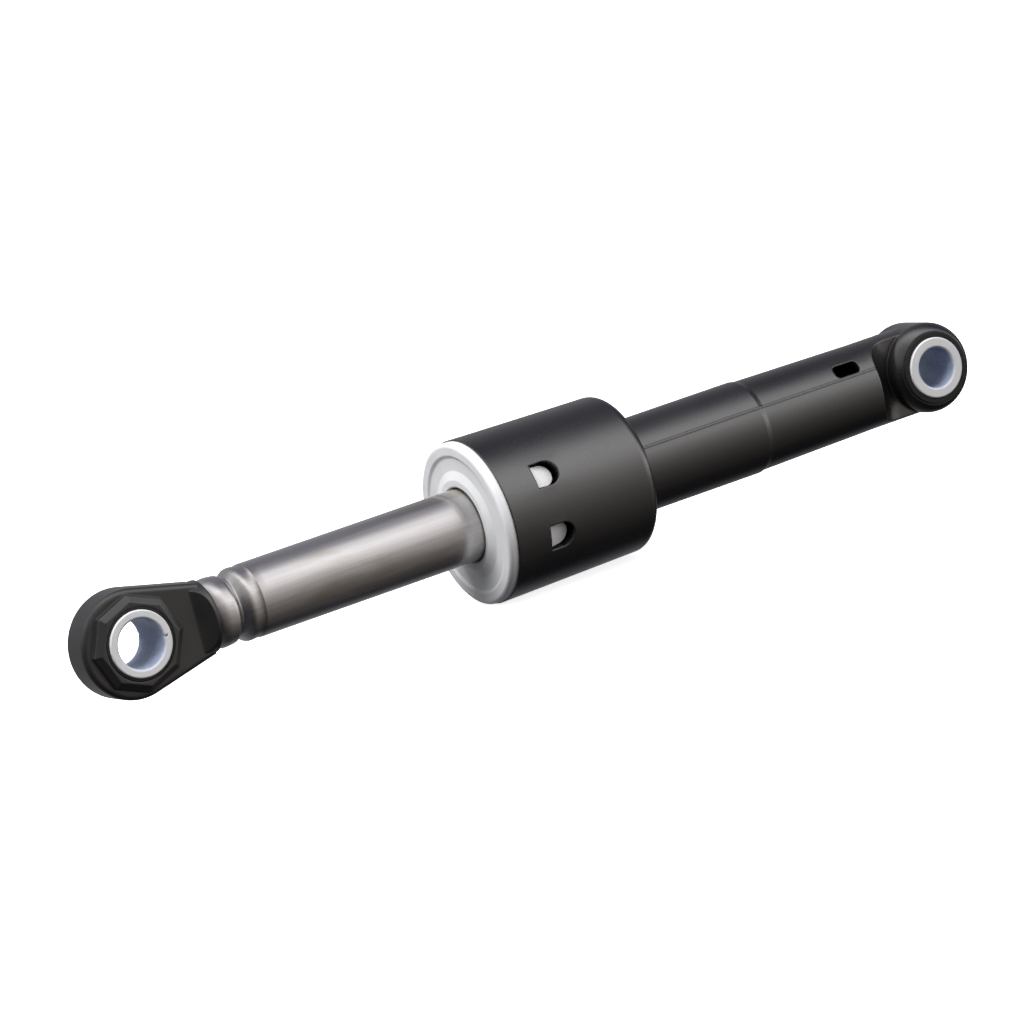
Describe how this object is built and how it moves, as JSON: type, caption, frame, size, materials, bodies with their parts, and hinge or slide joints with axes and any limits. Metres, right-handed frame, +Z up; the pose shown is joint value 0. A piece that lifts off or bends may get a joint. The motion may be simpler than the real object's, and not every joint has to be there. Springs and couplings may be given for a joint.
{
  "type": "washing machine shock absorber",
  "caption": "Friction damper for a washing machine drum: a steel rod slides in a black plastic housing with a wide friction head, and each end has a pin eye with a white bush.",
  "frame": {"origin": "centre of the housing eye's bore, on the damper axis", "axes": "+X along the damper axis from the housing eye to the rod eye, +Y along both eye bores, +Z up"},
  "size_m": [0.2758, 0.0452, 0.0452],
  "materials": {
    "black_plastic": "moulded, fine satin",
    "white_plastic": "moulded, soft gloss",
    "steel": "drawn tube, lightly polished and oiled",
    "rubber": "matt",
    "natural_plastic": "natural, uncoloured",
    "felt": "greased felt strip"
  },
  "bodies": {
    "housing": {"housing": "black_plastic", "guide_cap": "white_plastic", "housing_eye_rubber": "rubber", "housing_eye_sleeve": "white_plastic", "front_buffer": "rubber", "rear_buffer": "rubber"},
    "friction_unit": {"lining_cage": "black_plastic", "cage_cover": "black_plastic", "friction_lining": "felt"},
    "rod_guide": {"rod_guide_ring": "natural_plastic"},
    "rod": {"rod_tube": "steel", "rod_eye": "black_plastic", "rod_eye_rubber": "rubber", "rod_eye_sleeve": "white_plastic"}
  },
  "joints": [
    {"name": "rod_slide", "type": "slide", "parent": "housing", "child": "rod_guide", "axis": [1, 0, 0], "range_m": [-0.066, 0.01]},
    {"name": "rod_twist", "type": "hinge", "parent": "rod_guide", "child": "rod", "pos_m": [0.1, 0, 0], "axis": [1, 0, 0], "continuous": true},
    {"name": "friction_unit_free_travel", "type": "slide", "parent": "housing", "child": "friction_unit", "axis": [1, 0, 0], "range_m": [-0.004, 0.004]}
  ]
}
